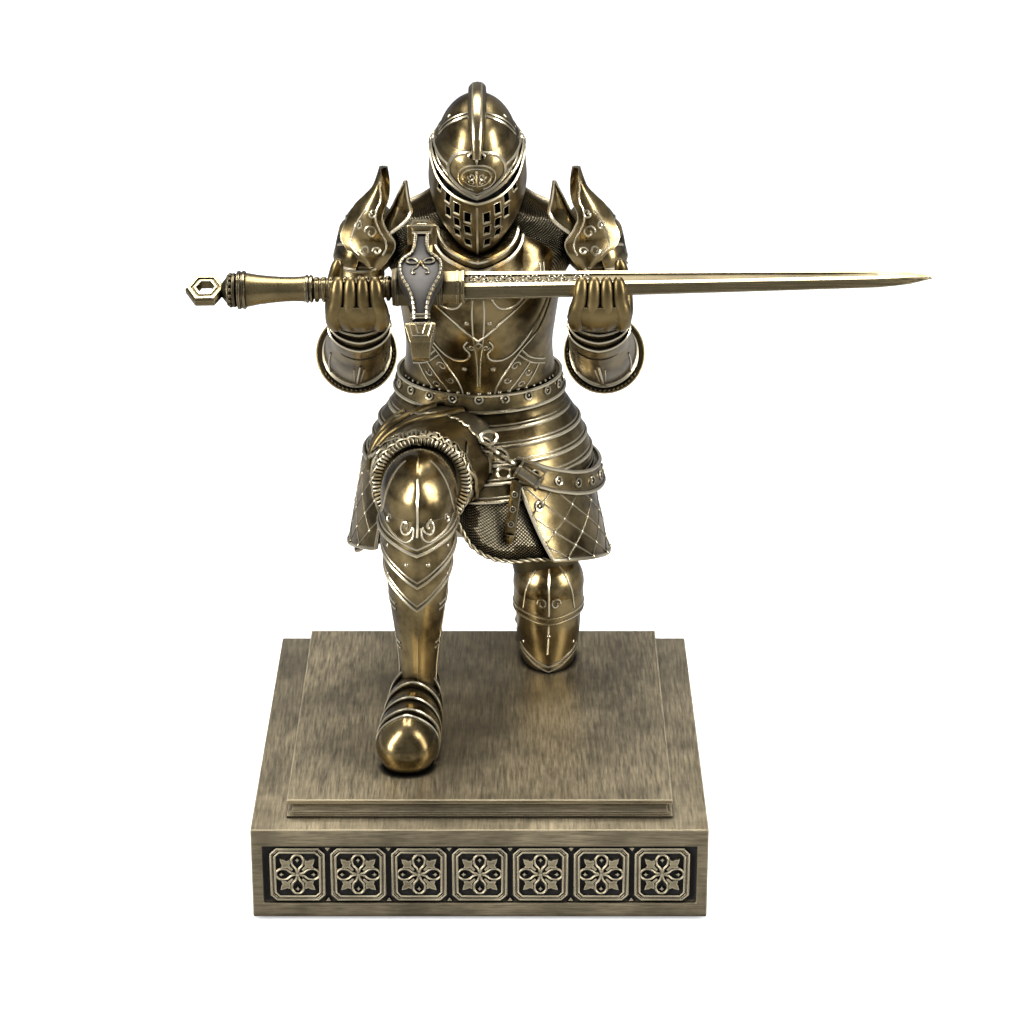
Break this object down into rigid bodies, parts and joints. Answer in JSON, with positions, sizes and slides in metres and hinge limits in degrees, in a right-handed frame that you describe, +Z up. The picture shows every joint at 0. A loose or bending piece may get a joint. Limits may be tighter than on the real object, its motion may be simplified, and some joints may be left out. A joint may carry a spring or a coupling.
{
  "type": "kneeling knight pen stand statuette",
  "caption": "Antique-bronze kneeling knight in plate and mail on a square plinth, holding a removable sword-shaped pen across both raised hands.",
  "frame": {"origin": "centre of the underside of the felt under the square plinth", "axes": "+Z up, the knight faces -Y, +X towards the sword's point, which is the knight's left"},
  "size_m": [0.1902, 0.1453, 0.2081],
  "materials": {
    "armour_bronze": "satin",
    "mail_bronze": "satin",
    "base_bronze": "satin",
    "hilt_metal": "satin",
    "blade_metal": "satin",
    "nib_metal": "polished",
    "refill_brass": "satin",
    "screw_steel": "satin",
    "felt": "matte"
  },
  "bodies": {
    "statuette": {"felt_pad": "felt", "base_plinth": "base_bronze", "frieze_front": "base_bronze", "frieze_back": "base_bronze", "frieze_left": "base_bronze", "frieze_right": "base_bronze", "top_plate": "base_bronze", "base_screws": "screw_steel", "right_sabaton": "armour_bronze", "right_greave": "armour_bronze", "right_knee_lames": "armour_bronze", "right_poleyn": "armour_bronze", "right_cuisse": "mail_bronze", "left_sabaton": "armour_bronze", "left_greave": "armour_bronze", "left_knee_lame": "armour_bronze", "left_poleyn": "armour_bronze", "left_cuisse": "mail_bronze", "mail_skirt": "mail_bronze", "fauld_lames": "armour_bronze", "left_tasset": "armour_bronze", "right_tasset": "armour_bronze", "waist_belt": "armour_bronze", "sword_belt": "armour_bronze", "belt_buckle": "armour_bronze", "mail_shirt": "mail_bronze", "breastplate": "armour_bronze", "backplate": "armour_bronze", "gorget": "armour_bronze", "right_pauldron": "armour_bronze", "left_pauldron": "armour_bronze", "right_rerebrace": "armour_bronze", "left_rerebrace": "armour_bronze", "right_couter": "armour_bronze", "left_couter": "armour_bronze", "right_vambrace": "armour_bronze", "left_vambrace": "armour_bronze", "right_palm": "armour_bronze", "left_palm": "armour_bronze", "right_fingers": "armour_bronze", "left_fingers": "armour_bronze", "right_thumb": "armour_bronze", "left_thumb": "armour_bronze", "helmet_skull": "armour_bronze", "helmet_comb": "armour_bronze", "visor": "armour_bronze", "face_plate": "armour_bronze", "visor_pivots": "armour_bronze"},
    "sword_hilt": {"grip_barrel": "hilt_metal", "grip_rings": "hilt_metal", "grip_wrap": "hilt_metal", "guard_block": "hilt_metal", "guard_shield": "hilt_metal", "guard_finials": "hilt_metal", "blade_sleeve": "hilt_metal", "nib_holder": "nib_metal", "ink_refill": "refill_brass"},
    "sword_blade": {"blade": "blade_metal"},
    "pommel_cap": {"pommel_ring": "hilt_metal", "pommel_collar": "hilt_metal"}
  },
  "joints": [
    {"name": "sword_lift", "type": "slide", "parent": "statuette", "child": "sword_hilt", "axis": [0, 0, 1], "range_m": [0, 0.06]},
    {"name": "blade_pull", "type": "slide", "parent": "sword_hilt", "child": "sword_blade", "axis": [0.9998, 0, 0.0192], "range_m": [0, 0.05]},
    {"name": "pommel_turn", "type": "hinge", "parent": "sword_hilt", "child": "pommel_cap", "pos_m": [-0.06449, -0.026, 0.16394], "axis": [0.9998, 0, 0.0192], "range_deg": [0, 1080]}
  ]
}
